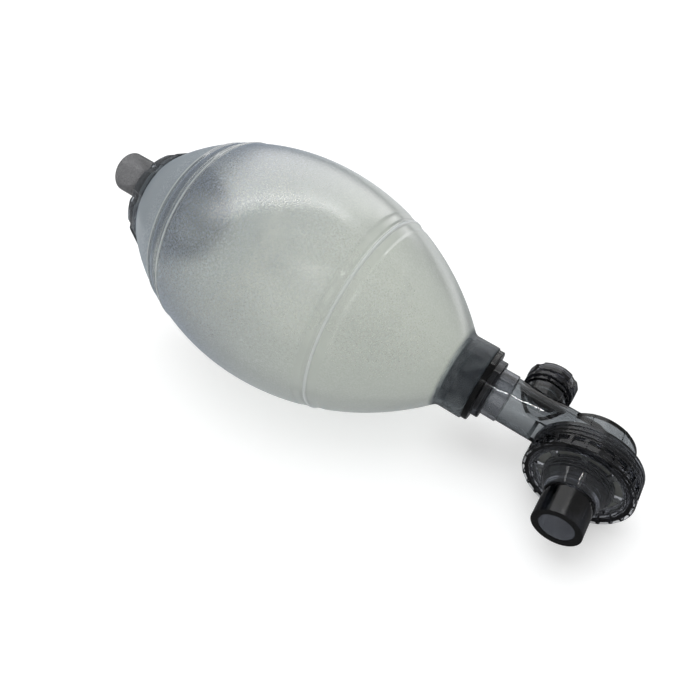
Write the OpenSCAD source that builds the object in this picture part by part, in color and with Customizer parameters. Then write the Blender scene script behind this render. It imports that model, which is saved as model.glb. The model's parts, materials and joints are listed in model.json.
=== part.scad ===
// Adult silicone resuscitator bag with its patient valve and inlet valve.
// Pieces are drawn along two crossing axes: the bag's long axis (X, patient end
// positive) and the patient port's axis (Y, port negative). place() then dips
// the patient end, as it lies on a table, and moves the centre of the patient
// port's mouth to the origin, with the mouth facing -Y.

/* [Layout] */
// Tilt of the bag's long axis as it lies on a table, patient end down
tilt = 13.5; // [10:0.5:16]
// Distance from the bag's axis to the mouth of the patient port
port_reach = 48.12; // [47:0.02:50]

/* [Bag] */
// Radius of the belly at its widest section
bag_r = 63.2; // [62:0.1:64.5]
// Distance of the widest section from the port axis
bag_mid = 174.2; // [173:0.1:175]
// Radius of the belly's side arc towards the inlet
bag_arc_in = 133; // [132:0.5:134]
// Radius of the belly's side arc towards the patient
bag_arc_out = 140; // [139:0.5:141]
// Thickness of the silicone wall
bag_wall = 3; // [2.5:0.1:3.4]
// Outer radius of the neck
neck_r = 19.8; // [19.4:0.1:20.2]
// Distance of the neck's free end from the port axis
neck_end = 59.3; // [59.2:0.1:59.5]
// Distance of the bag's mouth shoulder from the port axis
mouth_x = 258.8; // [258.6:0.1:259]

/* [Bag connector] */
// Radius of the connector's flange
conn_flange_r = 19; // [18:0.1:20]
// Radius of the connector's step
conn_step_r = 15.3; // [14.5:0.1:16]
// Radius of the connector's sleeve
conn_sleeve_r = 12.57; // [12.4:0.01:13]
// Bore of the connector that the valve's tail turns in
conn_bore_r = 11; // [10.98:0.01:11.02]

/* [Patient valve] */
// Outer radius of the valve's inlet tube
tube_r = 11.8; // [11.6:0.1:12]
// Bore radius of the inlet tube
tube_bore = 9.3; // [9:0.1:9.4]
// Radius of the tail that turns in the bag connector
tail_r = 10.95; // [10.92:0.01:10.96]
// Outer radius of the upper housing
house_r = 18; // [17.5:0.1:18.5]
// Height of the upper housing's back above the bag axis
house_back = 5.5; // [5:0.1:6.5]
// Outer radius of the locking ring
ring_r = 25; // [24.8:0.1:26]
// Number of grip pockets round the locking ring
ring_pockets = 24; // [12:1:26]
// Depth of the grip pockets
pocket_depth = 1.4; // [0.6:0.1:1.8]
// Width of each grip pocket
pocket_w = 5; // [3:0.1:5]
// Number of exhalation windows in the face
windows = 8; // [4:1:10]
// Number of ports under the exhalation flap
flap_ports = 16; // [8:1:20]

/* [Patient port] */
// Outer radius of the patient port (22 mm connector)
port_r = 11; // [10.9:0.01:11.2]
// Bore radius of the patient port (15 mm connector)
port_bore = 7.65; // [7.5:0.01:7.8]
// Depth of the 15 mm socket
socket_depth = 15.5; // [12:0.1:15.6]

/* [Relief valve] */
// Distance of the relief valve from the port axis
relief_x = 30; // [29.5:0.1:31]
// Outer radius of the relief valve's cap
relief_cap_r = 12.2; // [12:0.1:12.6]
// Number of wide grips round the cap
relief_lugs = 4; // [3:1:4]
// Half the angle each grip covers
relief_lug_half = 35; // [25:1:38]
// Turns of the relief spring
spring_turns = 5; // [4:1:6]
// Radius of the spring wire
spring_wire = 0.5; // [0.3:0.05:0.5]

/* [Inlet valve] */
// Radius of the inlet collar against the bag
collar_r = 33.4; // [33:0.1:34.5]
// Radius of the inlet collar at its outer edge
collar_tip_r = 28.6; // [28.2:0.1:30]
// Number of grips round the inlet collar
collar_grips = 10; // [6:1:14]
// Outer radius of the reservoir spigot
spigot_r = 11.8; // [11.5:0.1:12.2]
// Bore radius of the reservoir spigot
spigot_bore = 10; // [9:0.1:10.4]
// Distance of the spigot's tip from the port axis
spigot_tip = 297; // [285:1:300]
// Height of the spigot's axis above the bag's axis
spigot_up = 6.5; // [6:0.1:7]
// Distance of the oxygen nipple below the bag's axis
nipple_down = 14; // [13.5:0.1:15]
// Radius of the oxygen nipple's stem
nipple_r = 3; // [2.8:0.1:3.2]
// Radius of the inlet flap
inlet_flap_r = 17.8; // [16.5:0.1:18.5]
// Number of notches in the inlet housing's inner rim
cage_windows = 8; // [5:1:8]

/* [Hidden] */
$fn = 96;

fit_gap = 0.05;   // between neighbouring pieces
seal_slip = 0.03; // between a seal and the shaft inside it
seal_side = 0.1;  // between a seal and each side of its groove

smoke = [0.32, 0.33, 0.35, 0.7];
dark = [0.16, 0.16, 0.18];
clear_grey = [0.58, 0.6, 0.62, 0.8];
silicone = [0.66, 0.69, 0.7, 0.85];
white_rubber = [0.86, 0.87, 0.86];
black_rubber = [0.1, 0.1, 0.1];
soft_black = [0.12, 0.12, 0.12];

// ---------- shared shapes ----------
// Lying position, with the port's mouth at the origin.
module place() translate([0, port_reach, 0]) rotate([0, tilt, 0]) children();
// Revolved about the bag's axis: section points are [radius, X].
module spin_x() rotate([0, 90, 0]) rotate_extrude() children();
// Revolved about the port's axis: section points are [radius, Y].
module spin_y() rotate([-90, 0, 0]) rotate_extrude() children();
// Evenly spaced copies about X or Y, starting at the angle first.
module repeat_x(count, first = 0)
    for (i = [0:count - 1]) rotate([i * 360 / count + first, 0, 0]) children();
module repeat_y(count, first = 0)
    for (i = [0:count - 1]) rotate([0, i * 360 / count + first, 0]) children();
// Ring section between two radii, from start to end along the axis; a chamfer
// takes off its two outer corners.
module band(inner, outer, start, end, chamfer = 0)
    polygon(chamfer == 0
        ? [[inner, start], [outer, start], [outer, end], [inner, end]]
        : [[inner, start], [outer - chamfer, start], [outer, start + chamfer],
           [outer, end - chamfer], [outer - chamfer, end], [inner, end]]);
// Seal section in a groove given as [start, end].
module seal_band(inner, outer, groove, chamfer)
    band(inner, outer, groove[0] + seal_side, groove[1] - seal_side, chamfer);

// ---------- bag ----------
mouth_lip = 4.8;  // depth of the mouth's wall inwards from its shoulder

// Side arc of the belly. Its centre lies across the axis, level with the
// widest section.
module belly(arc_r, widest_r, start, end) intersection() {
    translate([widest_r - arc_r, -bag_mid]) circle(arc_r, $fn = 360);
    translate([0, start]) square([100, end - start]);
}
module silicone_bag() color(silicone) place() spin_x() difference() {
    union() {
        belly(bag_arc_in, bag_r, -mouth_x, -bag_mid);
        belly(bag_arc_out, bag_r, -bag_mid, -72.6);
        band(0, neck_r, -74.2, -neck_end);
        band(0, 29, -mouth_x - 4.2, -mouth_x + 0.5);  // mouth rim
    }
    belly(bag_arc_in - bag_wall, bag_r - bag_wall, -mouth_x + mouth_lip, -bag_mid);
    belly(bag_arc_out - bag_wall, bag_r - bag_wall, -bag_mid, -72.9);
    band(0, 26.1, -mouth_x - 6, -mouth_x + 5);  // mouth opening
    band(0, 16.9, -78, -69.4);                  // recess for the connector's head
    band(0, 15.55, -69.6, -neck_end + 1);       // neck bore
}

// ---------- connector in the bag's neck ----------
conn_groove = [-56.2, -53.9];
conn_groove_r = 12.6;

module bag_connector() color(dark) place() spin_x() difference() {
    union() {
        // head inside the bag, and barrel through the neck
        polygon([[0, -74], [15.2, -74], [16.8, -72.4], [16.8, -69.7],
            [15.45, -69.7], [15.45, -58.9], [0, -58.9]]);
        band(0, conn_flange_r, -neck_end + fit_gap, -56.3, 0.35);
        band(0, conn_step_r, -56.6, -52.3, 0.35);
        band(0, conn_sleeve_r, -52.6, -44.3, 0.25);
    }
    band(0, conn_bore_r, -75, -44);
    band(0, 11.7, -66.3, -63.7);  // room for the tail's bead
    band(0, conn_groove_r, conn_groove[0], conn_groove[1]);
}
module connector_seal() color(black_rubber) place() spin_x()
    seal_band(tail_r + seal_slip, conn_groove_r - fit_gap, conn_groove, 0.4);

// ---------- patient valve ----------
// Levels along Y, from the back towards the port
skirt_seat = -12.4;  // seat collar under the duckbill's skirt
rim_y = -16;         // open rim of the upper housing
housing_seal_h = 1;
seat_top = rim_y - housing_seal_h - 2 * fit_gap;
seat_face = seat_top - 1;
flap_top = seat_face - fit_gap;
// Ridges that lock the ring to the housing
ridges = 3;
ridge_pitch = 2.2;
relief_at = [-relief_x, 0, 0];
relief_boss_top = 14;
relief_floor = 11.5;  // floor of the pocket in the relief boss

// Quarter disc that revolves into the tube's round end.
module round_end(radius) translate([0, -5]) intersection() {
    circle(radius);
    square(radius + 1);
}
module valve_housing() color(smoke) place() difference() {
    union() {
        // tail and tube, closed by a round end over the chamber
        difference() {
            spin_x() {
                band(0, tail_r, -68, -44);
                band(0, 11.6, -66, -64, 0.3);  // bead
                band(0, tube_r, -44.2, -4, 0.2);
                round_end(tube_r);
            }
            // the tube's port side is cut flat where the ring turns past it
            translate([-26.6, -20, -15]) cube([40, 11.3, 30]);
        }
        spin_y() {
            // chamber, widening to the threaded rim
            polygon([[0, house_back], [house_r - 1, house_back],
                [house_r, house_back - 1], [house_r, -9], [21.2, -9],
                [21.4, -9.2], [21.4, rim_y + 0.2], [21.2, rim_y], [0, rim_y]]);
            for (k = [0:ridges - 1]) let (drop = ridge_pitch * k)
                polygon([[20, -10 - drop], [21.9, -10.3 - drop],
                    [21.9, -10.8 - drop], [20, -11.1 - drop]]);
        }
        // two ribs on each Z side of the chamber wall
        for (angle = [-117, -67, 67, 117]) rotate([0, angle, 0])
            translate([house_r - 0.6, -9, -0.6]) cube([1.1, house_back + 7.6, 1.2]);
        translate(relief_at) spin_y() band(0, 10.5, 4, relief_boss_top, 0.4);
    }
    // bore, with a flat floor kept over the cut
    difference() {
        spin_x() {
            band(0, tube_bore, -69, -4);
            round_end(tube_bore);
        }
        translate([-28.2, -20, -15]) cube([28.2 - 15, 12.8, 30]);
    }
    spin_y() {
        band(0, 16, -10.4, house_back - 2.2);  // chamber
        band(0, 19.4, rim_y - 1, -10);         // recess for the skirt
    }
    translate(relief_at) spin_y() {
        band(0, 7.3, 0, 10.2);
        band(0, 5, 0, 12);                // opening the poppet closes
        band(0, 8.8, relief_floor, 15);   // pocket
    }
}
module housing_seal() color(soft_black) place() spin_y()
    band(19.7, 21.2, seat_top + fit_gap, rim_y - fit_gap, 0.2);

module exhale_seat() color(clear_grey) place() difference() {
    spin_y() {
        band(9, 12, -13.4, skirt_seat);       // collar
        band(9, 10.8, -17.3, -13.2);          // wall
        band(9, 21.3, seat_face, seat_top);   // plate
        band(8.2, 9.6, -23, -17.9);           // spout
    }
    repeat_y(flap_ports)
        translate([15.6, 0, 0]) rotate([90, 0, 0]) cylinder(h = 20, r = 1.5);
}

// Duckbill: a flat skirt with two lips that meet in a slit along X.
slit_w = 14.4;
slit_gap = 0.3;

// Round mouth at start, blended into a flat block of the given size at end.
module throat(radius, start, end, size) hull() {
    translate([0, start, 0]) rotate([90, 0, 0]) cylinder(h = 1, r = radius, $fn = 48);
    translate([0, end, 0]) cube(size, center = true);
}
module duckbill_valve() color(white_rubber) place() difference() {
    union() {
        spin_y() band(0, 18.8, skirt_seat + fit_gap, skirt_seat + fit_gap + 1, 0.3);
        throat(8.5, -12, -19.8, [15.6, 0.4, 2]);
    }
    throat(7.6, -11, -19.3, [slit_w, 0.2, slit_gap]);
    translate([0, -19.8, 0]) cube([slit_w, 2, slit_gap], center = true);
}
module exhale_flap() color(white_rubber) place() spin_y()
    band(12.55, 19, flap_top - 0.8, flap_top, 0.2);

// Outlet housing section, [radius, Y]: funnel, face, then the outer and inner
// walls that reach back to the seat
outlet_outline = [
    [9.65, -32.3], [11.4, -32.3], [14.8, -26.1], [14.8, -25], [15.3, -24.7],
    [15.3, -23.9], [15, -23.6], [15, -23.1], [15.4, -22.8], [15.4, -22.2],
    [20.3, -22.2], [20.3, -21], [21.3, -21], [21.3, flap_top], [19.6, flap_top],
    [19.6, -20.6], [12.5, -20.6], [12.5, -18.4], [9.65, -18.4]];
port_groove = [-29, -27.4];
port_groove_r = 11.2;
spoke_half = 4.2;  // half the angle of a spoke between windows

module outlet_housing() color(smoke) place() difference() {
    spin_y() polygon(outlet_outline);
    repeat_y(windows, 180 / windows - 12.5)
        rotate([-90, 0, 0]) translate([0, 0, -23]) linear_extrude(height = 3)
            window_section(15.9, 19.35, 180 / windows - spoke_half);
    spin_y() {
        band(0, 10, -33, -24);
        band(0, 10.6, -25.9, -24.2);  // room for the port's bead
        band(0, port_groove_r, port_groove[0], port_groove[1]);
    }
}
// Part of a flat ring, half_angle each side of +X.
module window_section(inner, outer, half_angle) intersection() {
    difference() {
        circle(outer);
        circle(inner);
    }
    polygon([[1, 0], [30 * cos(half_angle), 30 * sin(half_angle)],
        [30 * cos(half_angle), -30 * sin(half_angle)]]);
}

ring_groove_r = ring_r - 0.45;  // floor of the grooves round the ring
// Locking ring section, [radius, Y]: the grooved side, then the inner lip
ring_outline = [
    [22, -8.9], [ring_r - 0.4, -8.9], [ring_r, -9.3],
    [ring_r, -11.3], [ring_groove_r, -11.8], [ring_groove_r, -12.4], [ring_r, -12.9],
    [ring_r, -13.7], [ring_groove_r, -14.2], [ring_groove_r, -14.8], [ring_r, -15.3],
    [ring_r, -16.1], [ring_groove_r, -16.5], [ring_groove_r, -16.9], [ring_r, -17.3],
    [ring_r, -22.7], [ring_r - 0.5, -23.3], [20.9, -23.3],
    [20.6, -23], [20.6, -21.1], [22, -21.1]];

module locking_ring() color(smoke) place() difference() {
    spin_y() difference() {
        polygon(ring_outline);
        for (k = [0:ridges - 1]) let (drop = ridge_pitch * k)
            polygon([[21.9, -9.9 - drop], [22.5, -10.3 - drop],
                [22.5, -10.8 - drop], [21.9, -11.2 - drop]]);
    }
    repeat_y(ring_pockets, 6) translate([ring_r - pocket_depth, -22.3, -pocket_w / 2])
        cube([5, 4.7, pocket_w]);
}

// ---------- patient port ----------
port_neck_r = 9.95;  // neck that turns in the outlet housing
port_lead = 0.35;    // step at the mouth of the bore

module patient_port() color(smoke) place() spin_y() difference() {
    union() {
        band(0, port_r, -port_reach, -32.4);
        band(0, 11.35, -33.4, -32.4, 0.25);   // shoulder
        band(0, port_neck_r, -32.6, -24.1);
        band(0, 10.5, -25.7, -24.4, 0.3);     // bead
    }
    band(0, port_bore, -port_reach - 1, -port_reach + socket_depth);
    band(0, 7, -port_reach + socket_depth - 1, -24);
    polygon([[0, -port_reach], [port_bore + port_lead, -port_reach],
        [port_bore, -port_reach + port_lead], [0, -port_reach + port_lead]]);
}
module port_seal() color(black_rubber) place() spin_y()
    seal_band(port_neck_r + seal_slip, port_groove_r - fit_gap, port_groove, 0.3);

// ---------- pressure relief valve, on the back (+Y) of the tube ----------
disc_y = 12.6;       // poppet disc's face towards the bag axis
poppet_foot_r = 2;
cap_top_r = relief_cap_r - 1.2;
spring_r = 4.5;
spring_y = 13.86;    // lower end of the spring
spring_h = 5.9;

module at_relief() place() translate(relief_at) children();
module relief_body() color(dark) at_relief() difference() {
    spin_y() {
        band(0, 8.75, 12.9, 14.3, 0.2);                          // plug in the pocket
        band(0, 11.3, relief_boss_top + fit_gap, 16.3, 0.35);    // flange
        band(0, 10.2, 16, 24, 0.3);                              // barrel
    }
    spin_y() band(0, 7.6, 12, 22.4);
    spin_y() band(0, 1.55, 20, 25);  // hole for the poppet's stem
    // radial side holes
    repeat_y(6, 15) translate([0, 15.2, 0])
        rotate([0, 90, 0]) cylinder(h = 14, r = 0.7, $fn = 24);
}
// Outline of the cap's grips: wide lugs of three flats each, with sides that
// fall to root_r over 3 degrees.
function grip_points(count, lug_r, root_r, half) = [for (i = [0:count - 1])
    for (corner = [[-half - 3, root_r], [-half, lug_r], [-half / 3, lug_r],
        [half / 3, lug_r], [half, lug_r], [half + 3, root_r]])
    let (angle = i * 360 / count + corner[0] + 6.5)
    [corner[1] * sin(angle), corner[1] * cos(angle)]];
module relief_cap() color(dark) at_relief() difference() {
    union() {
        // skirt and flat top
        spin_y() polygon([[10.25, 16.45], [relief_cap_r - 0.4, 16.45],
            [relief_cap_r, 16.85], [relief_cap_r, 18.9], [relief_cap_r - 0.4, 19.3],
            [cap_top_r, 19.3], [cap_top_r, 25],
            [2, 25], [2, 24.1], [10.25, 24.1]]);
        // grips, trimmed to a rounded rim
        intersection() {
            rotate([-90, 0, 0]) translate([0, 0, 20.1]) linear_extrude(6.2)
                polygon(grip_points(relief_lugs, relief_cap_r + 0.3,
                    relief_cap_r - 1.05, relief_lug_half));
            spin_y() polygon([[10.6, 20.1], [relief_cap_r - 0.1, 20.1],
                [relief_cap_r + 0.6, 20.7], [relief_cap_r + 0.6, 24.9],
                [relief_cap_r - 1.3, 26.3], [relief_cap_r - 3.4, 26.3],
                [relief_cap_r - 3.9, 25.7], [2.4, 25.7], [1.8, 25.1],
                [1.8, 24.1], [10.6, 24.1]]);
        }
    }
    repeat_y(4, 45) translate([6, 22, 0])
        rotate([-90, 0, 0]) cylinder(h = 6, r = 1.2, $fn = 32);
}
// Helical spring along Z: a round wire section at each step of the coil.
module spring(radius, height, turns, wire, steps = 20, sides = 8) {
    last = turns * steps;
    points = [for (i = [0:last]) for (s = [0:sides - 1])
        let (turn = i * 360 / steps, around = s * 360 / sides,
            reach = radius + wire * cos(around))
        [reach * cos(turn), reach * sin(turn), height * i / last + wire * sin(around)]];
    walls = [for (i = [0:last - 1]) for (s = [0:sides - 1])
        [i * sides + s, i * sides + (s + 1) % sides,
         (i + 1) * sides + (s + 1) % sides, (i + 1) * sides + s]];
    caps = [[for (s = [sides - 1:-1:0]) s], [for (s = [0:sides - 1]) last * sides + s]];
    polyhedron(points = points, faces = concat(walls, caps), convexity = 6);
}
module relief_spring() color([0.75, 0.76, 0.78]) at_relief()
    translate([0, spring_y + spring_wire, 0]) rotate([-90, 0, 0])
        spring(spring_r, spring_h - 2 * spring_wire, spring_turns, spring_wire);
module relief_poppet() color([0.2, 0.2, 0.22]) at_relief() spin_y() {
    band(0, poppet_foot_r, 11, 12.8, 0.2);
    band(0, 6.9, disc_y, 13.8, 0.2);  // disc
    band(0, 1.5, 13.6, 23.5, 0.3);    // stem
}
module relief_seal() color(white_rubber) at_relief() spin_y()
    band(poppet_foot_r + fit_gap, 6.8, relief_floor + fit_gap, disc_y - fit_gap, 0.2);

// ---------- inlet valve, in the bag's mouth ----------
inlet_end = -266;    // housing's outer end
plate_out = -247;    // outer face of the housing's perforated plate
plate_in = -245;     // its inner face, under the flap
inlet_bore = 20.6;
socket_r = 23.6;     // bore that takes the reservoir connector
pin_r = 1.5;
inlet_groove = [-265.4, -264];
inlet_groove_r = 22.3;
spigot_base = -267;
boss_end = -269;     // outer face of the oxygen nipple's boss
nipple_hole_r = 2.6;

module inlet_housing() color(dark) place() difference() {
    spin_x() difference() {
        union() {
            band(0, 26, inlet_end, -253.5);
            // bead at the outer end
            polygon([[20, inlet_end], [26.4, -265.4], [26.4, -264.8], [20, -264.2]]);
            // flange inside the bag's mouth
            band(0, 30.5, -mouth_x + mouth_lip + fit_gap, -251.9, 0.3);
            band(0, 24.5, -253, -240.5, 0.8);  // inner barrel
        }
        band(0, socket_r, inlet_end - 1, -252.5);
        band(0, inlet_bore, -253, plate_out);
        band(0, inlet_bore, plate_in, -239);
    }
    // holes in the plate, and the pin's hole at its centre
    repeat_x(8) translate([plate_out - 1, 0, 12.5])
        rotate([0, 90, 0]) cylinder(h = 4, r = 3.3);
    translate([plate_out - 1, 0, 0]) rotate([0, 90, 0])
        cylinder(h = 4, r = pin_r + fit_gap);
    // notches in the inner rim
    repeat_x(cage_windows, 180 / cage_windows)
        translate([-243.2, -3.5, 18]) cube([8, 7, 9]);
}
module inlet_collar() color(dark) place() difference() {
    spin_x() polygon([[29.1, -mouth_x - 0.1], [collar_r - 0.3, -mouth_x - 0.1],
        [collar_r, -mouth_x - 0.5], [collar_tip_r, -269.2],
        [collar_tip_r - 0.5, -269.7], [24.1, -269.7], [23.8, -269.4],
        [23.8, -267.9], [26.5, -267.9], [26.5, -mouth_x - 4.3], [29.1, -mouth_x - 4.3]]);
    // shallow flutes between the grips, following the collar's slope
    slope = atan((collar_r - collar_tip_r) / 10.4);
    repeat_x(collar_grips, 90)
        translate([-264.5, 0, (collar_r + collar_tip_r) / 2 + 5.1])
            rotate([0, 90 - slope, 0]) cylinder(h = 30, r = 6, center = true, $fn = 64);
}
module inlet_seal() color(soft_black) place() spin_x()
    seal_band(inlet_groove_r + fit_gap, socket_r - fit_gap, inlet_groove, 0.25);
module inlet_flap() color(white_rubber) place() spin_x()
    band(pin_r + 0.06, inlet_flap_r, plate_in + fit_gap, -244.15, 0.2);
module inlet_flap_pin() color([0.85, 0.86, 0.87]) place() spin_x() {
    band(0, pin_r, -248.6, -241.6, 0.2);
    band(0, 4, -242.2, -241, 0.3);                      // head
    band(0, 2.1, -248.2, plate_out - fit_gap, 0.2);     // catch behind the plate
}

module at_spigot() translate([0, 0, spigot_up]) spin_x() children();
module at_nipple() translate([0, 0, -nipple_down]) spin_x() children();
module reservoir_connector() color(clear_grey) place() difference() {
    union() {
        spin_x() {
            band(0, 25.9, -267.8, inlet_end - fit_gap, 0.2);  // flange
            band(0, 23.5, -266.2, -263, 0.2);                 // plug
        }
        at_spigot() band(0, spigot_r, -spigot_tip, spigot_base, 0.6);
        // spigot's thicker root
        at_spigot() polygon([[0, -270.8], [spigot_r, -270.8],
            [spigot_r + 1.2, -269.6], [spigot_r + 1.2, spigot_base], [0, spigot_base]]);
        at_nipple() band(0, 5, boss_end, spigot_base, 0.3);
    }
    at_spigot() band(0, spigot_bore, -spigot_tip - 1, -262);
    spin_x() band(inlet_groove_r, 24, inlet_groove[0], inlet_groove[1]);
    at_nipple() band(0, nipple_hole_r, boss_end - 1, -262);
}
module oxygen_nipple() color([0.8, 0.85, 0.8]) place() at_nipple() difference() {
    union() {
        band(0, nipple_hole_r - fit_gap, -272, -263.2, 0.2);  // shank in the boss
        // shoulder on the boss
        polygon([[0, -271.8], [nipple_r, -271.8], [4.4, -270.4],
            [4.4, boss_end - fit_gap], [0, boss_end - fit_gap]]);
        // stem
        polygon([[0, -287], [nipple_r - 0.6, -287], [nipple_r, -286.2],
            [nipple_r, -270.5], [0, -270.5]]);
    }
    band(0, 1.4, -290, -262);
}

silicone_bag();
bag_connector();
connector_seal();
valve_housing();
housing_seal();
exhale_seat();
duckbill_valve();
exhale_flap();
outlet_housing();
locking_ring();
patient_port();
port_seal();
relief_body();
relief_cap();
relief_spring();
relief_poppet();
relief_seal();
inlet_housing();
inlet_collar();
inlet_seal();
inlet_flap();
inlet_flap_pin();
reservoir_connector();
oxygen_nipple();
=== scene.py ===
# A hand-squeezed resuscitator: a frosted silicone bag between an inlet and a patient valve,
# both of smoke-tinted plastic.
# Lengths on the object are in "valve" millimetres: X runs along the bag with the patient end
# positive, Y along the patient port with the port negative, and the two cross at 0.
# The stage, lights and room use the row frame: metres, +Z up.
import bpy, bmesh, math, json
import numpy as np
from mathutils import Vector, Matrix


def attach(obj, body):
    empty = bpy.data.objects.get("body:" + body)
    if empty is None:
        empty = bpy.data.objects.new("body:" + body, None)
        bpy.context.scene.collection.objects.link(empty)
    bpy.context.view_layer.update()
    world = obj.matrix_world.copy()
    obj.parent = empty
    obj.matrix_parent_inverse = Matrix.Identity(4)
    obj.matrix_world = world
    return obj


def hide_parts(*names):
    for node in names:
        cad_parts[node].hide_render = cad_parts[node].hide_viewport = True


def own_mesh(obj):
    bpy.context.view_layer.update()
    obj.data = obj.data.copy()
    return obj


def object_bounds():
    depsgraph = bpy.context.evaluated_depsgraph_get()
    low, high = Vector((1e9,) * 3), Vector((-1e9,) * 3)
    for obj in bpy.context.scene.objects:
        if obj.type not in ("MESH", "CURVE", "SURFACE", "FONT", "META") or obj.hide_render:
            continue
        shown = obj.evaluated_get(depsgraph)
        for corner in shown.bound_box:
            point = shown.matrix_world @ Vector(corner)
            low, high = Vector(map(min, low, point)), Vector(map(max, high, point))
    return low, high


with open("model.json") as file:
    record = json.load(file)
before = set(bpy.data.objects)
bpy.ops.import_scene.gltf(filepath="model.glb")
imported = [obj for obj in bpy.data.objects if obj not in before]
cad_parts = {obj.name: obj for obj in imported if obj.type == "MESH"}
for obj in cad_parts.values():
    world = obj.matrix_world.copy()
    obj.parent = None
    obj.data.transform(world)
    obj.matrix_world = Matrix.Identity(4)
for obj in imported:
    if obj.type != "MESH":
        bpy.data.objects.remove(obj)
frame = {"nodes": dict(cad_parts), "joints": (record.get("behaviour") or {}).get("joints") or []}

cad_lo, cad_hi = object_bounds()
centre = (cad_lo + cad_hi) / 2
scene = bpy.context.scene
parts = frame["nodes"]

# ------------------------------------------------------------------
# Valve axes, given in the row frame
# ------------------------------------------------------------------
swivel = [joint for joint in frame["joints"] if joint["name"] == "valve_swivel"][0]
ORIGIN = Vector(swivel["pos_m"])
AXIS_X = Vector(swivel["axis"]).normalized()
AXIS_Y = Vector((0.0, 1.0, 0.0))
AXIS_Z = AXIS_X.cross(AXIS_Y).normalized()
MM = 0.001
MM_PER_M = 1000

# ------------------------------------------------------------------
# Bag dimensions (valve mm)
# ------------------------------------------------------------------
BELLY_X = -174.2              # widest station
BELLY_RADIUS = 63.2
INLET_ARC = 133.0             # radius of the outline's arc on the inlet side of the belly
PATIENT_ARC = 140.0           # and on the patient side
WALL = 3.0
NECK_RADIUS = 19.8
NECK_START_X = -90.0          # the neck is blended in from here on
NECK_FILLET = 1.6
NECK_END_X = -59.95
NECK_END_ROUND = 0.6
INSIDE_X = (-74.8, -253.9)    # ends of the curved inner wall, patient end first
INSIDE_STATIONS = 160
BAG_SEGMENTS = 288

INLET_BAND_X = -226.0         # middle of the ribbed band towards the inlet
INLET_RIBS_X = (-231.4, -220.6)
PATIENT_FLAT_X = -126.7       # middle of the shallow flat towards the patient
PATIENT_FLAT_HALF = 5.6
PATIENT_FLAT_DEPTH = 0.30
PATIENT_FLAT_EDGE = 0.35
PATIENT_RIDGE_X = -126.2
# Rounded ribs (+) and channels (-): x, height, half width
RIBS = [
    (INLET_RIBS_X[0], 0.50, 0.65),
    (INLET_BAND_X, 0.25, 1.5),
    (INLET_RIBS_X[1], 0.65, 0.75),
    (-229.4, -0.60, 0.80),
    (-222.7, -0.60, 0.80),
    (PATIENT_RIDGE_X, 0.60, 0.65),
    (-127.8, -0.40, 0.65),
]
RIB_POWER = 2.6               # above 2 gives flatter tops than a bell curve

# Outside stations: x where a run starts, number of stations up to the next run
OUTSIDE_RUNS = [(-258.75, 60), (-234, 90), (-218, 130), (-134, 80), (-119.5, 60), (-80, 50)]
# Outlines: x, radius
MOUTH_LIP = [
    (-262.9, 26.2), (-263.0, 26.5), (-263.0, 28.6), (-262.8, 28.95),
    (-258.95, 28.95), (-258.8, 29.1), (-258.8, 31.9),
]
NECK_BORE = [
    (-59.35, 15.7), (-59.5, 15.57), (-69.3, 15.57), (-69.45, 15.7),
    (-69.45, 16.95), (-74.3, 16.98),
]
MOUTH_INSIDE = [(-253.98, 31.9), (-253.98, 26.6), (-254.2, 26.15)]


# ------------------------------------------------------------------
# Mesh helpers
# ------------------------------------------------------------------
def to_row(points):
    """Valve millimetres to row-frame metres."""
    axes = np.array([tuple(AXIS_X), tuple(AXIS_Y), tuple(AXIS_Z)])
    return points @ axes * MM + np.array(ORIGIN)


def new_object(name, verts, faces, smooth=True):
    mesh = bpy.data.meshes.new(name)
    mesh.from_pydata([tuple(v) for v in verts], [], faces)
    mesh.update()
    if smooth:
        mesh.polygons.foreach_set("use_smooth", [True] * len(mesh.polygons))
    obj = bpy.data.objects.new(name, mesh)
    scene.collection.objects.link(obj)
    return obj


def ring_faces(rings, around, closed):
    """Quads between rings of vertices; closed joins the last ring to the first."""
    faces = []
    for i in range(rings if closed else rings - 1):
        j = (i + 1) % rings
        for s in range(around):
            t = (s + 1) % around
            faces.append((i * around + s, j * around + s, j * around + t, i * around + t))
    return faces


def face_outwards(mesh):
    bm = bmesh.new()
    bm.from_mesh(mesh)
    bmesh.ops.recalc_face_normals(bm, faces=bm.faces)
    bm.to_mesh(mesh)
    bm.free()


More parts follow.
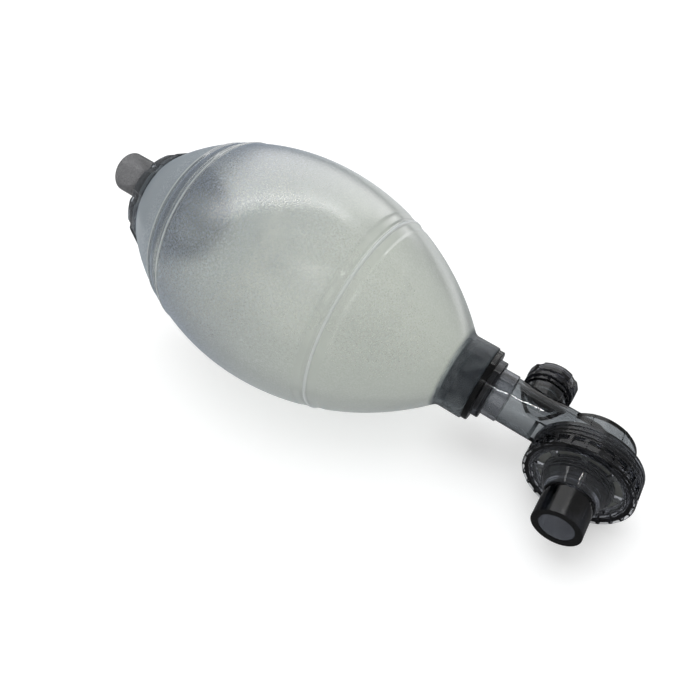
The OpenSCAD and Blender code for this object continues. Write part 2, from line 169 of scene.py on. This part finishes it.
# ------------------------------------------------------------------
# Shader helpers
# ------------------------------------------------------------------
class Nodes:
    """Adds nodes to one tree.  Any input takes a socket to link or a plain value."""

    def __init__(self, tree):
        self.tree = tree

    def put(self, socket, value):
        if isinstance(value, bpy.types.NodeSocket):
            self.tree.links.new(value, socket)
        else:
            socket.default_value = value

    def node(self, kind, inputs=None, **settings):
        node = self.tree.nodes.new(kind)
        for name, value in settings.items():
            setattr(node, name, value)
        for key, value in (inputs or {}).items():
            self.put(node.inputs[key], value)
        return node

    def math(self, operation, a, b=0.0, c=None, clamp=False):
        values = {0: a, 1: b}
        if c is not None:
            values[2] = c
        return self.node("ShaderNodeMath", values, operation=operation, use_clamp=clamp).outputs[0]

    def add(self, a, b, clamp=False):
        return self.math("ADD", a, b, clamp=clamp)

    def sub(self, a, b, clamp=False):
        return self.math("SUBTRACT", a, b, clamp=clamp)

    def mul(self, a, b):
        return self.math("MULTIPLY", a, b)

    def mul_add(self, value, factor, offset):
        return self.math("MULTIPLY_ADD", value, factor, offset)

    def highest(self, a, b):
        return self.math("MAXIMUM", a, b)

    def remap(self, value, span, to=(0.0, 1.0), kind="LINEAR"):
        """Takes span[0]..span[1] to to[0]..to[1]."""
        inputs = {"Value": value, "From Min": span[0], "From Max": span[1],
                  "To Min": to[0], "To Max": to[1]}
        return self.node("ShaderNodeMapRange", inputs, interpolation_type=kind).outputs["Result"]

    def ease(self, value, span, to=(0.0, 1.0)):
        """remap with soft ends."""
        return self.remap(value, span, to, kind="SMOOTHSTEP")

    def dot(self, vector, direction):
        node = self.node("ShaderNodeVectorMath", {0: vector, 1: direction},
                         operation="DOT_PRODUCT")
        return node.outputs["Value"]


class Material(Nodes):
    def __init__(self, name):
        self.material = bpy.data.materials.new(name)
        self.material.use_nodes = True
        super().__init__(self.material.node_tree)
        self.tree.nodes.clear()
        self.output = self.node("ShaderNodeOutputMaterial")

    def finish(self, shader):
        self.put(self.output.inputs["Surface"], shader)
        return self.material

    def shader(self, kind, inputs):
        return self.node(kind, inputs).outputs[0]

    def position(self, scale=(MM_PER_M, MM_PER_M, MM_PER_M)):
        """Row-frame position of the resting mesh, in millimetres by default."""
        coord = self.node("ShaderNodeTexCoord")
        inputs = {"Vector": coord.outputs["Object"], "Scale": scale}
        return self.node("ShaderNodeMapping", inputs).outputs["Vector"]

    def noise(self, vector, scale, detail=2.0, roughness=0.5, distortion=0.0):
        inputs = {"Vector": vector, "Scale": scale, "Detail": detail,
                  "Roughness": roughness, "Distortion": distortion}
        return self.node("ShaderNodeTexNoise", inputs).outputs["Fac"]

    def mix_color(self, factor, a, b):
        return self.node("ShaderNodeMix", {0: factor, 6: a, 7: b}, data_type="RGBA").outputs[2]

    def mix_shader(self, factor, a, b):
        return self.shader("ShaderNodeMixShader", {0: factor, 1: a, 2: b})

    def bump(self, height, strength, depth_mm, normal=None):
        inputs = {"Strength": strength, "Distance": depth_mm * MM, "Height": height}
        if normal is not None:
            inputs["Normal"] = normal
        return self.node("ShaderNodeBump", inputs).outputs["Normal"]

    def finish_see_through(self, shader, light_path, tint):
        """Shadow and bounce rays cross straight, so the floor behind stays lit."""
        clear = self.shader("ShaderNodeBsdfTransparent", {"Color": tint})
        soft = self.highest(light_path["Is Shadow Ray"], light_path["Is Diffuse Ray"])
        return self.finish(self.mix_shader(soft, shader, clear))


def srgb(*channels):
    """sRGB 0-255 to linear, opaque."""
    def linear(c):
        return c / 12.92 if c <= 0.04045 else ((c + 0.055) / 1.055) ** 2.4
    return tuple(linear(c / 255) for c in channels) + (1,)


def smoke(name, loss, rough=0.03, haze=0.0, haze_color=(0.11, 0.11, 0.115, 1), shade=0.72):
    """Smoke-tinted clear plastic, darker the more wall the light crosses.
    loss: what each millimetre takes out of red, green and blue.
    haze: share of milky scatter.  shade: what shadow rays keep."""
    mat = Material(name)
    position = mat.position()
    light_path = mat.node("ShaderNodeLightPath").outputs
    geometry = mat.node("ShaderNodeNewGeometry").outputs

    # tint from the depth of wall crossed, capped at 60 mm and slightly cloudy
    depth = mat.mul(light_path["Ray Length"], MM_PER_M)
    depth = mat.math("MINIMUM", depth, 60.0)
    cloud = mat.noise(position, scale=0.045, detail=3)
    depth = mat.mul(depth, mat.remap(cloud, span=(0.3, 0.7), to=(0.9, 1.1)))
    kept = {i: mat.math("POWER", math.exp(-channel), depth) for i, channel in enumerate(loss)}
    kept = mat.node("ShaderNodeCombineColor", kept).outputs[0]
    tint = mat.mix_color(geometry["Backfacing"], (1, 1, 1, 1), kept)

    # moulded surface: slow waves, fine flow lines and scattered hairline scratches
    slow = mat.noise(position, scale=0.22)
    flow = mat.noise(position, scale=0.9, detail=4, roughness=0.6)
    stretched = mat.position(scale=(70, 1300, 420))
    scratch = mat.node("ShaderNodeTexVoronoi", {"Vector": stretched, "Scale": 0.5},
                       feature="DISTANCE_TO_EDGE").outputs["Distance"]
    scratch = mat.remap(scratch, span=(0.0, 0.02), to=(1.0, 0.0))
    scattered = mat.remap(mat.noise(position, scale=0.35), span=(0.56, 0.62))
    scratch = mat.mul(scratch, scattered)
    broken_edge = mat.shader("ShaderNodeBevel", {"Radius": 0.25 * MM})
    broken_edge.node.samples = 4
    normal = mat.bump(slow, strength=0.12, depth_mm=0.5, normal=broken_edge)
    normal = mat.bump(flow, strength=0.02, depth_mm=0.02, normal=normal)
    normal = mat.bump(scratch, strength=-0.25, depth_mm=0.03, normal=normal)

    shader = mat.shader("ShaderNodeBsdfGlass", {
        "Color": tint,
        "Roughness": mat.remap(flow, span=(0.3, 0.8), to=(rough * 0.6, rough * 1.6)),
        "IOR": 1.5,
        "Normal": normal})
    if haze:
        milky = mat.shader("ShaderNodeBsdfDiffuse", {"Color": haze_color, "Normal": normal})
        share = mat.remap(flow, span=(0.3, 0.7), to=(haze * 0.7, haze * 1.3))
        shader = mat.mix_shader(share, shader, milky)
    return mat.finish_see_through(shader, light_path, (shade, shade, shade, 1))


def solid(name, base, rough, variation, metallic=0.0, subsurface=0.0):
    """Opaque material; variation is how far its colour wanders either way."""
    mat = Material(name)
    position = mat.position()
    scale = 0.6
    patches = mat.noise(position, scale=scale, detail=4, roughness=0.6)
    fine = mat.noise(position, scale=scale * 9, detail=3)
    dark = tuple(c * (1 - variation) for c in base[:3]) + (1,)
    light = tuple(min(1, c * (1 + variation)) for c in base[:3]) + (1,)
    inputs = {
        "Base Color": mat.mix_color(mat.remap(patches, span=(0.35, 0.65)), dark, light),
        "Roughness": mat.remap(fine, span=(0.3, 0.7), to=(rough * 0.8, rough * 1.25)),
        "Metallic": metallic,
        "Normal": mat.bump(fine, strength=0.1, depth_mm=0.05)}
    if subsurface:
        inputs["Subsurface Weight"] = subsurface
        inputs["Subsurface Radius"] = (0.004, 0.004, 0.004)
        inputs["Subsurface Scale"] = 1.0
    return mat.finish(mat.shader("ShaderNodeBsdfPrincipled", inputs))


# ------------------------------------------------------------------
# Silicone: a frosted, scattering outer skin over a smooth inner skin
# ------------------------------------------------------------------
def window(mat, x, centre_x, half, edge):
    """1 within half a width of centre_x, fading to 0 over the edge."""
    distance = mat.math("ABSOLUTE", mat.sub(x, centre_x))
    return mat.ease(distance, span=(half - edge, half + edge), to=(1.0, 0.0))


def bag_zones(mat, position):
    """Valve x, the neck mask, the mask of smooth polished zones and the wall's slow waves."""
    coord = mat.node("ShaderNodeTexCoord").outputs["Object"]
    along_axis = mat.dot(coord, tuple(AXIS_X * MM_PER_M))
    x = mat.sub(along_axis, ORIGIN.dot(AXIS_X) * MM_PER_M)
    inlet_band = window(mat, x, INLET_BAND_X, half=7.2, edge=0.8)
    patient_band = window(mat, x, PATIENT_FLAT_X, half=PATIENT_FLAT_HALF, edge=1.0)
    neck = mat.ease(x, span=(-76.0, -73.5))
    mouth = mat.ease(x, span=(-245.0, -238.0), to=(1.0, 0.0))
    polished = mat.highest(mat.highest(inlet_band, patient_band), mat.highest(neck, mouth))
    waves = mat.mul(mat.noise(position, scale=0.03),
                    mat.remap(polished, span=(0.0, 1.0), to=(1.0, 0.15)))
    return x, neck, polished, waves


def silicone_inner():
    mat = Material("silicone_bag_inner_mat")
    light_path = mat.node("ShaderNodeLightPath").outputs
    waves = bag_zones(mat, mat.position())[-1]
    glass = mat.shader("ShaderNodeBsdfGlass", {
        "Color": (0.97, 0.98, 0.975, 1),
        "Roughness": 0.09,
        "IOR": 1.41,
        "Normal": mat.bump(waves, strength=0.4, depth_mm=0.6)})
    return mat.finish_see_through(glass, light_path, (0.92, 0.92, 0.92, 1))


def silicone_outer():
    mat = Material("silicone_bag_mat")
    position = mat.position()
    light_path = mat.node("ShaderNodeLightPath").outputs
    x, neck, polished, waves = bag_zones(mat, position)
    mouth_edge = (-233.0, -230.5)

    # pebbled grain: short wormy cells about half a millimetre across, strongest at the inlet
    cells = mat.node("ShaderNodeTexVoronoi",
                     {"Vector": position, "Scale": 1.15, "Smoothness": 0.45},
                     feature="SMOOTH_F1").outputs["Distance"]
    worm = mat.noise(position, scale=1.5, distortion=0.8)
    grain = mat.add(mat.mul(cells, 0.8), mat.mul(worm, 0.7))
    patches = mat.noise(position, scale=0.018)
    amount = mat.mul(mat.sub(1.0, polished, clamp=True),
                     mat.remap(patches, span=(0.35, 0.65), to=(0.40, 0.75)))
    amount = mat.mul(amount, mat.ease(x, span=(-205.0, -125.0), to=(1.15, 0.45)))

    def surface(grain_mm, wave_mm):
        grained = mat.bump(grain, amount, grain_mm)
        strength = mat.remap(polished, span=(0.0, 1.0), to=(0.5, 0.06))
        return mat.bump(waves, strength, wave_mm, grained)
    normal = surface(grain_mm=0.17, wave_mm=0.8)

    # colour: cooler towards the inlet, paler on the ribs where a highlight is painted along their
    # crests, dark and blotchy on the neck
    tone = mat.noise(position, scale=0.012)
    along = mat.add(mat.ease(x, span=(-240.0, -125.0)),
                    mat.remap(tone, span=(0.3, 0.7), to=(-0.12, 0.12)), clamp=True)
    color = mat.mix_color(along, srgb(151, 163, 181), srgb(200, 205, 204))
    color = mat.mix_color(mat.ease(x, mouth_edge, to=(1.0, 0.0)), color, srgb(176, 185, 193))
    # rib crests: a painted highlight, as pale colour here and as extra milk below
    ribs = mat.highest(window(mat, x, INLET_RIBS_X[0], half=0.55, edge=0.3),
                       window(mat, x, INLET_RIBS_X[1], half=0.65, edge=0.3))
    ribs = mat.highest(ribs, window(mat, x, PATIENT_RIDGE_X, half=0.55, edge=0.3))
    color = mat.mix_color(ribs, color, srgb(214, 218, 220))
    blotches = mat.noise(position, scale=0.10, detail=4, roughness=0.6, distortion=0.6)
    neck_color = mat.mix_color(mat.remap(blotches, span=(0.40, 0.62)),
                               srgb(66, 72, 79), srgb(118, 124, 127))
    color = mat.mix_color(neck, color, neck_color)

    # the wall itself: a milky body mixed with rough glass
    skin = {"Color": color, "Normal": normal}
    body = mat.mix_shader(0.45, mat.shader("ShaderNodeBsdfDiffuse", skin),
                          mat.shader("ShaderNodeBsdfTranslucent", skin))
    glass_color = mat.mix_color(along, srgb(221, 221, 214), srgb(241, 242, 233))
    glass = mat.shader("ShaderNodeBsdfGlass", {
        "Color": mat.mix_color(neck, glass_color, srgb(176, 180, 184)),
        "IOR": 1.41,
        "Roughness": mat.remap(polished, span=(0.0, 1.0), to=(0.22, 0.17)),
        "Normal": normal})

    # milkiness: stronger edge on, at the mouth, on the ribs (more of their painted highlight) and
    # on the high grain
    facing = mat.node("ShaderNodeLayerWeight", {"Blend": 0.5}).outputs["Facing"]
    milk = mat.math("POWER", facing, 2.0)
    milk = mat.add(mat.remap(milk, span=(0.0, 1.0), to=(0.25, 0.93)), mat.mul(along, 0.12))
    pits = mat.mul(mat.sub(grain, 0.62), mat.mul(amount, 1.1))
    inletward = mat.ease(x, span=(-205.0, -165.0), to=(1.0, 0.35))
    mouthward = mat.ease(x, mouth_edge, to=(1.0, 0.0))
    milk = mat.add(milk, mat.mul(mouthward, 0.20))
    milk = mat.add(milk, mat.mul(ribs, 0.25))
    milk = mat.add(milk, mat.mul(pits, inletward), clamp=True)
    shader = mat.mix_shader(milk, glass, body)

    # satin skin over everything: carries the lamps' reflections and their glitter
    gloss = mat.shader("ShaderNodeBsdfGlossy", {
        "Roughness": mat.add(mat.remap(polished, span=(0.0, 1.0), to=(0.13, 0.07)),
                             mat.mul(neck, 0.2)),
        "Normal": surface(grain_mm=0.12, wave_mm=0.6)})
    fresnel = mat.shader("ShaderNodeFresnel", {"IOR": 1.45, "Normal": normal})
    fresnel = mat.mul(fresnel, mat.sub(1.0, light_path["Is Transmission Ray"]))
    share = mat.mul(fresnel, mat.remap(neck, span=(0.0, 1.0), to=(3.6, 0.9)))
    shader = mat.mix_shader(mat.math("MINIMUM", share, 0.32), shader, gloss)
    return mat.finish_see_through(shader, light_path, (0.74, 0.75, 0.74, 1))


# ------------------------------------------------------------------
# Silicone bag
# ------------------------------------------------------------------
def belly_radius(x, inset=0.0):
    """The two arcs of the outline, moved in by inset."""
    arc = np.where(x < BELLY_X, INLET_ARC, PATIENT_ARC)
    return BELLY_RADIUS - arc + np.sqrt((arc - inset) ** 2 - (x - BELLY_X) ** 2)


def bag_radius(x):
    """Outer radius at valve x, with the neck and the moulded bands."""
    radius = belly_radius(x)
    # smooth maximum: a small fillet where the belly runs into the neck
    h = np.clip(0.5 + 0.5 * (radius - NECK_RADIUS) / NECK_FILLET, 0, 1)
    filleted = NECK_RADIUS * (1 - h) + radius * h + NECK_FILLET * h * (1 - h)
    radius = np.where(x > NECK_START_X, filleted, radius)
    for rib_x, height, half_width in RIBS:
        radius = radius + height * np.exp(-np.abs((x - rib_x) / half_width) ** RIB_POWER)
    offset = x - PATIENT_FLAT_X
    rise = 1 / (1 + np.exp(-(offset + PATIENT_FLAT_HALF) / PATIENT_FLAT_EDGE))
    fall = 1 / (1 + np.exp((offset - PATIENT_FLAT_HALF) / PATIENT_FLAT_EDGE))
    return radius - PATIENT_FLAT_DEPTH * rise * fall


def bag_profile():
    """Closed outline: lip, outside to the neck's end, bore, and inside back to the mouth."""
    ends = [start for start, _ in OUTSIDE_RUNS[1:]] + [NECK_END_X]
    outside = np.concatenate([
        np.linspace(start, end, count, endpoint=end == NECK_END_X)
        for (start, count), end in zip(OUTSIDE_RUNS, ends)])
    inside = np.linspace(*INSIDE_X, INSIDE_STATIONS)
    neck_end = [
        (NECK_END_X + NECK_END_ROUND * math.sin(math.radians(angle)),
         NECK_RADIUS - NECK_END_ROUND + NECK_END_ROUND * math.cos(math.radians(angle)))
        for angle in np.linspace(0, 90, 7)[1:]]
    return np.array(
        MOUTH_LIP + list(zip(outside, bag_radius(outside))) + neck_end
        + NECK_BORE + list(zip(inside, belly_radius(inside, inset=WALL))) + MOUTH_INSIDE)


def build_bag():
    profile = bag_profile()
    angles = np.linspace(0, 2 * math.pi, BAG_SEGMENTS, endpoint=False)
    points = np.zeros((len(profile), BAG_SEGMENTS, 3))
    points[:, :, 0] = profile[:, :1]
    points[:, :, 1] = profile[:, 1:] * np.cos(angles)
    points[:, :, 2] = profile[:, 1:] * np.sin(angles)
    faces = ring_faces(len(profile), BAG_SEGMENTS, closed=True)
    obj = new_object("silicone_bag_shell", to_row(points.reshape(-1, 3)), faces)
    face_outwards(obj.data)
    obj.data.set_sharp_from_angle(angle=math.radians(50))
    return obj


def is_inner_skin(face):
    """True for the inner wall between the mouth and the neck's bore."""
    from_origin = face.center - ORIGIN
    x = from_origin.dot(AXIS_X)
    faces_in = face.normal.dot(from_origin - AXIS_X * x) < 0
    return faces_in and -0.2539 < x < -0.0735


bag = build_bag()
bag.data.materials.append(silicone_outer())
bag.data.materials.append(silicone_inner())
bag.data.polygons.foreach_set(
    "material_index", [int(is_inner_skin(face)) for face in bag.data.polygons])
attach(bag, "bag")
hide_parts("silicone_bag")

# ------------------------------------------------------------------
# Materials for the CAD pieces
# ------------------------------------------------------------------
MATERIALS = {
    "smoke_clear": smoke("smoke_clear_mat", loss=(0.325, 0.310, 0.299)),
    "smoke_outlet": smoke("smoke_outlet_mat", loss=(0.33, 0.322, 0.300), rough=0.05,
                          haze=0.06, haze_color=(0.22, 0.23, 0.25, 1), shade=0.62),
    "smoke_port": smoke("smoke_port_mat", loss=(0.60, 0.585, 0.55), shade=0.5),
    "smoke_collar": smoke("smoke_collar_mat", loss=(0.20, 0.190, 0.176), rough=0.04,
                          haze=0.10, haze_color=(0.15, 0.165, 0.185, 1)),
    "smoke_mid": smoke("smoke_mid_mat", loss=(0.41, 0.402, 0.380)),
    "smoke_dark": smoke("smoke_dark_mat", loss=(0.38, 0.372, 0.350), shade=0.62),
    "smoke_light": smoke("smoke_light_mat", loss=(0.24, 0.24, 0.235), rough=0.06, haze=0.10),
    "spigot_grey": smoke("spigot_grey_mat", loss=(0.62, 0.62, 0.61), rough=0.2, haze=0.5),
    "relief": smoke("relief_mat", loss=(0.48, 0.475, 0.45), shade=0.5),
    "valve_silicone": solid("valve_silicone_mat", srgb(150, 152, 150), rough=0.4,
                            variation=0.06, subsurface=0.2),
    "flap_silicone": solid("flap_silicone_mat", srgb(84, 86, 84), rough=0.4,
                           variation=0.08, subsurface=0.1),
    "seal": solid("seal_rubber_mat", srgb(22, 22, 24), rough=0.5, variation=0.2),
    "steel": solid("spring_steel_mat", srgb(190, 190, 195), rough=0.25,
                   variation=0.1, metallic=1.0),
}
PART_MATERIALS = {
    "bag_connector": "smoke_dark", "connector_seal": "seal", "valve_housing": "smoke_clear",
    "housing_seal": "seal", "exhale_seat": "smoke_mid", "duckbill_valve": "valve_silicone",
    "exhale_flap": "flap_silicone", "outlet_housing": "smoke_outlet",
    "locking_ring": "smoke_mid", "patient_port": "smoke_port", "port_seal": "seal",
    "relief_body": "relief", "relief_cap": "relief", "relief_poppet": "relief",
    "relief_seal": "seal", "inlet_housing": "smoke_dark", "inlet_collar": "smoke_collar",
    "inlet_seal": "seal", "inlet_flap": "valve_silicone", "inlet_flap_pin": "smoke_light",
    "reservoir_connector": "spigot_grey", "oxygen_nipple": "spigot_grey",
}
for part, material in PART_MATERIALS.items():
    mesh = parts[part].data
    mesh.materials.clear()
    mesh.materials.append(MATERIALS[material])
    for polygon in mesh.polygons:
        polygon.material_index = 0

# ------------------------------------------------------------------
# Relief spring (valve mm): a fixed coil, its foot at the poppet, its head under the cap
# ------------------------------------------------------------------
SPRING_X = -30.0
SPRING_FOOT_Y = 13.86
SPRING_HEAD_Y = 22.3
SPRING_RADIUS = 4.5           # to the middle of the wire
SPRING_TURNS = 4.6
SPRING_CLOSED_TURNS = 0.7     # nearly flat turns, shared by both ends
SPRING_FLAT_PITCH = 0.07      # share of the rise spread evenly, closed ends included
WIRE_RADIUS = 0.38
WIRE_SIDES = 10
STEPS_PER_TURN = 44


def build_spring():
    steps = int(SPRING_TURNS * STEPS_PER_TURN)
    closed = SPRING_CLOSED_TURNS / SPRING_TURNS
    verts = []
    for i in range(steps + 1):
        u = i / steps
        rise = min(max((u - closed * 0.5) / (1 - closed), 0.0), 1.0)
        rise = (1 - SPRING_FLAT_PITCH) * rise + SPRING_FLAT_PITCH * u
        y = SPRING_FOOT_Y + WIRE_RADIUS + (SPRING_HEAD_Y - SPRING_FOOT_Y - 2 * WIRE_RADIUS) * rise
        turn = 2 * math.pi * SPRING_TURNS * u
        for s in range(WIRE_SIDES):
            around = 2 * math.pi * s / WIRE_SIDES
            reach = SPRING_RADIUS + WIRE_RADIUS * math.cos(around)
            verts.append((SPRING_X + reach * math.cos(turn),
                          y + WIRE_RADIUS * math.sin(around),
                          reach * math.sin(turn)))
    faces = ring_faces(steps + 1, WIRE_SIDES, closed=False)
    faces.append(tuple(range(WIRE_SIDES)))
    faces.append(tuple(steps * WIRE_SIDES + s for s in reversed(range(WIRE_SIDES))))
    obj = new_object("relief_spring_coil", to_row(np.array(verts)), faces)
    face_outwards(obj.data)
    return obj


coil = build_spring()
coil.data.materials.append(MATERIALS["steel"])
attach(coil, "valve")
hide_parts("relief_spring")
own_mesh(coil)

# ------------------------------------------------------------------
# Stage floor
# ------------------------------------------------------------------
FLOOR_HALF = 6
FLOOR_GAP = 0.0002


def floor_material():
    """White to the camera, dark in mirror reflections except for a bright sweep beyond
    the object, so the plastics keep contrast."""
    mat = Material("stage_floor_mat")
    light_path = mat.node("ShaderNodeLightPath").outputs
    mirrored = mat.mul(light_path["Is Glossy Ray"],
                       mat.sub(1.0, light_path["Is Transmission Ray"]))
    paint = mat.shader("ShaderNodeBsdfPrincipled", {
        "Base Color": mat.mix_color(mirrored, (0.93, 0.93, 0.93, 1), (0.16, 0.16, 0.165, 1)),
        "Roughness": 0.9,
        "Specular IOR Level": 0.1})

    # sweep: seen by the first mirror ray only, towards -X +Y but not far along -X
    position = mat.node("ShaderNodeNewGeometry").outputs["Position"]
    away_x, away_y = -0.45, 0.89
    beyond = mat.sub(mat.dot(position, (away_x, away_y, 0.0)),
                     centre.x * away_x + centre.y * away_y)
    floor_x = mat.node("ShaderNodeSeparateXYZ", {0: position}).outputs[0]
    x_limit = mat.ease(floor_x, span=(centre.x - 0.60, centre.x - 0.30))
    first_mirror = mat.mul(mirrored, mat.math("LESS_THAN", light_path["Ray Depth"], 1.5))
    sweep = mat.mul(mat.ease(beyond, span=(0.10, 0.30), to=(0.0, 0.7)), first_mirror)
    sweep = mat.mul(sweep, x_limit)

    # lift: added light for all other rays, more in the distance and for bounce rays
    distance = mat.node("ShaderNodeVectorMath", {0: position}, operation="LENGTH")
    far = mat.mul(mat.ease(distance.outputs["Value"], span=(0.6, 2.2), to=(0.0, 0.5)),
                  light_path["Is Camera Ray"])
    lift = mat.add(far, mat.mul_add(light_path["Is Diffuse Ray"], factor=0.55, offset=0.22))
    strength = mat.add(sweep, mat.mul(mat.sub(1.0, mirrored), lift))
    glow = mat.shader("ShaderNodeEmission", {"Strength": strength})
    return mat.finish(mat.shader("ShaderNodeAddShader", {0: paint, 1: glow}))


built_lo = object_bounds()[0]
floor_z = min(cad_lo.z, built_lo.z) - FLOOR_GAP
corners = [(x * FLOOR_HALF, y * FLOOR_HALF, floor_z)
           for x, y in ((-1, -1), (1, -1), (1, 1), (-1, 1))]
floor = new_object("stage_floor", corners, [(0, 1, 2, 3)], smooth=False)
floor.data.materials.append(floor_material())


# ------------------------------------------------------------------
# Room: white to the camera; mirror rays find a dim studio with a large bright diffuser
# towards -X +Y and a weak glow towards +X -Y
# ------------------------------------------------------------------
class RoomNodes(Nodes):
    """Nodes whose maths leave 0 in a spare third input."""

    def math(self, operation, a, b=0.0, c=0.0, clamp=False):
        return super().math(operation, a, b, c, clamp)


def build_room():
    world = bpy.data.worlds.new("studio_world")
    scene.world = world
    world.use_nodes = True
    world.cycles.sampling_method = "NONE"      # the room differs by kind of ray
    room = RoomNodes(world.node_tree)
    light_path = room.node("ShaderNodeLightPath").outputs
    direction = room.node("ShaderNodeTexCoord").outputs["Generated"]
    x, y, z = room.node("ShaderNodeSeparateXYZ", {0: direction}).outputs

    # diffuser: two straight edges join, a bright rim follows them, both ends fade in x
    edge_xy = room.sub(room.mul_add(x, -0.8, room.mul(y, 0.6)), 0.34)
    edge_y = room.sub(y, 0.53)
    inside = room.highest(edge_xy, edge_y)
    panel = room.mul(room.ease(inside, span=(-0.07, -0.03)), room.ease(z, span=(-0.05, 0.25)))
    rim = room.mul_add(room.ease(inside, span=(0.07, -0.01)), factor=2.1, offset=1.1)
    panel = room.mul(room.mul(panel, rim), room.ease(x, span=(-0.72, -0.58)))
    fade = room.mul_add(room.ease(x, span=(0.02, 0.28)), factor=-0.92, offset=1.0)
    panel = room.mul(panel, fade)

    # glow: a round spot about (0.30, -0.60), above the horizon only
    spot_x = room.math("POWER", room.sub(x, 0.30), 2.0)
    spot_y = room.math("POWER", room.math("ABSOLUTE", room.add(y, 0.60)), 2.0)
    from_spot = room.math("SQRT", room.add(spot_x, spot_y))
    glow = room.mul(room.ease(from_spot, span=(0.30, 0.05)), 0.45)
    glow = room.mul(glow, room.math("GREATER_THAN", z, 0.0))

    # later bounces see the panel and glow at 0.15; 0.18 is the dim studio
    early = room.mul_add(room.math("LESS_THAN", light_path["Ray Depth"], 2.5),
                         factor=0.85, offset=0.15)
    mirror = room.mul_add(room.add(panel, glow), early, 0.18)
    through = room.mul(light_path["Is Transmission Ray"], 1.0)
    glossy = room.mul(light_path["Is Glossy Ray"], room.sub(1.0, through))
    level = room.mul_add(through, factor=-0.40, offset=0.62)
    level = room.add(room.mul(level, room.sub(1.0, glossy)), room.mul(mirror, glossy))

    background = room.tree.nodes["Background"].inputs
    background["Color"].default_value = (1, 1, 1, 1)
    room.put(background["Strength"], room.highest(light_path["Is Camera Ray"], level))


build_room()


# ------------------------------------------------------------------
# Lights
# ------------------------------------------------------------------
def area_light(name, location, size_x, size_y, power, color=(1, 1, 1)):
    data = bpy.data.lights.new(name, "AREA")
    data.shape = "RECTANGLE"
    data.size, data.size_y = size_x, size_y
    data.energy = power
    data.color = color
    lamp = bpy.data.objects.new(name, data)
    scene.collection.objects.link(lamp)
    lamp.location = location
    lamp.visible_camera = False
    return lamp


def soft_light(name, location, **settings):
    """Aimed at the floor under the object; mirror reflections come from the room instead."""
    lamp = area_light(name, location, **settings)
    aim = (Vector((centre.x, centre.y, 0.0)) - Vector(location)).normalized()
    lamp.rotation_mode = "QUATERNION"
    lamp.rotation_quaternion = aim.to_track_quat("-Z", "X")
    lamp.visible_glossy = False


def strip_light(name, start, end, width, radiance):
    """Hung level between two points, facing down: the crisp highlights."""
    start, end = Vector(start), Vector(end)
    run = end - start
    lamp = area_light(name, (start + end) / 2, size_x=run.length, size_y=width,
                      power=radiance * math.pi * run.length * width)
    lamp.rotation_euler = (0, 0, math.atan2(run.y, run.x))
    return lamp


soft_light("light_top", (centre.x - 0.10, centre.y + 0.15, 1.0),
           size_x=0.9, size_y=0.9, power=4.4, color=(0.95, 0.98, 1.0))
soft_light("light_fill", (centre.x + 0.1, -1.1, 0.32),
           size_x=1.1, size_y=0.6, power=5.0, color=(1.0, 1.0, 0.975))
soft_light("light_back", (centre.x + 0.5, 1.2, 0.6), size_x=0.8, size_y=0.8, power=1.6)
valve_strip = strip_light("light_strip_valve", (0.115, -0.45, 0.95), (0.232, 0.01, 0.95),
                          width=0.009, radiance=42.0)
strip_light("light_strip_bag", (0.057, -0.567, 0.95), (0.438, -0.189, 0.95),
            width=0.07, radiance=0.8)

# the narrow strip lights only the CAD pieces, not the bag
receivers = bpy.data.collections.new("strip_receivers")
for part in sorted(PART_MATERIALS):
    receivers.objects.link(parts[part])
valve_strip.light_linking.receiver_collection = receivers

# ------------------------------------------------------------------
# Camera, placed in valve axes
# ------------------------------------------------------------------
CAMERA_EYE = Vector((-38.036, -198.167, 227.836))      # mm
CAMERA_RIGHT = Vector((0.8219054, 0.5556458, 0.1254163))
CAMERA_UP = Vector((-0.4972147, 0.5923918, 0.6339160))
CAMERA_BACK = Vector((0.2779372, -0.5833778, 0.7631653))

camera_data = bpy.data.cameras.new("photo_camera")
camera = bpy.data.objects.new("photo_camera", camera_data)
scene.collection.objects.link(camera)
camera_data.sensor_width = 36
camera_data.lens = 30.857143
camera_data.clip_start, camera_data.clip_end = 0.01, 20
to_row_axes = Matrix((AXIS_X, AXIS_Y, AXIS_Z)).transposed()
camera_axes = [to_row_axes @ axis for axis in (CAMERA_RIGHT, CAMERA_UP, CAMERA_BACK)]
pose = Matrix(camera_axes).transposed().to_4x4()
pose.translation = to_row_axes @ (CAMERA_EYE * MM) + ORIGIN
camera.matrix_world = pose
scene.camera = camera

# ------------------------------------------------------------------
# Render settings
# ------------------------------------------------------------------
scene.view_settings.view_transform = "Standard"
scene.view_settings.look = "None"
scene.cycles.max_bounces = 16
scene.cycles.transparent_max_bounces = 32
scene.cycles.transmission_bounces = 12
scene.cycles.use_denoising = True
